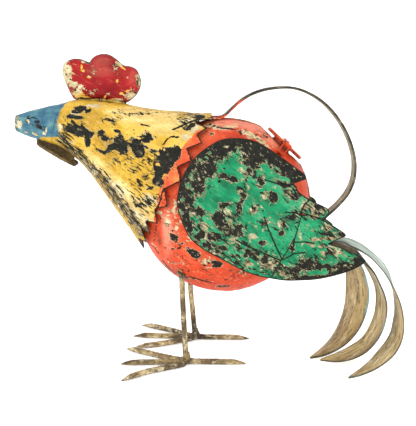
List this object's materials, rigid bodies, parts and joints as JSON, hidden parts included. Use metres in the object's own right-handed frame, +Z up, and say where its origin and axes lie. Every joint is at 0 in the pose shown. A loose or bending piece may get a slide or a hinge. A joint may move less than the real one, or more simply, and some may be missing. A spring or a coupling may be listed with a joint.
{
  "type": "watering can",
  "caption": "Rooster-shaped sheet-steel watering can: hollow body tank, neck and beak spout, hinged filler lid, loop handle, rod legs, hand-painted worn finish.",
  "frame": {"origin": "on the ground, under the middle of the object's bounding box", "axes": "+Z up; the bird looks along -X, its tail is at +X, its left side is -Y"},
  "size_m": [0.4354, 0.2011, 0.3488],
  "materials": {
    "orange_paint": "chipped orange-red paint over dark primer, satin",
    "yellow_paint": "chipped yellow paint over dark primer, satin",
    "blue_paint": "streaked blue paint worn to cream at the tip, satin",
    "red_paint": "worn crimson paint, satin",
    "green_paint": "chipped green paint with black and cream wear, satin",
    "dark_steel": "darkened bare steel, tan on the inner faces",
    "patina_steel": "tan rust patina with dark streaks, matt"
  },
  "bodies": {
    "can": {"body_left_shell": "orange_paint", "body_right_shell": "orange_paint", "fill_collar": "orange_paint", "hinge_bracket": "orange_paint", "neck_hackle": "yellow_paint", "beak_spout": "blue_paint", "comb_left": "red_paint", "comb_right": "red_paint", "wing_left_coverts": "green_paint", "wing_left_primaries": "green_paint", "wing_right_coverts": "green_paint", "wing_right_primaries": "green_paint", "handle_strap": "dark_steel", "hinge_pin": "dark_steel", "wattle_left": "dark_steel", "wattle_right": "dark_steel", "tail_feather_front": "patina_steel", "tail_feather_middle": "patina_steel", "tail_feather_rear": "patina_steel", "leg_left": "patina_steel", "leg_right": "patina_steel", "toe_left_outer": "patina_steel", "toe_left_middle": "patina_steel", "toe_left_inner": "patina_steel", "toe_left_back": "patina_steel", "toe_right_outer": "patina_steel", "toe_right_middle": "patina_steel", "toe_right_inner": "patina_steel", "toe_right_back": "patina_steel"},
    "lid": {"lid_disc": "orange_paint", "lid_strap": "orange_paint", "lid_rivet_front": "orange_paint", "lid_rivet_rear": "orange_paint"}
  },
  "joints": [
    {"name": "lid_hinge", "type": "hinge", "parent": "can", "child": "lid", "pos_m": [0.08832, -0.0295, 0.24898], "axis": [0.7266, 0, -0.6871], "range_deg": [0, 110]}
  ]
}
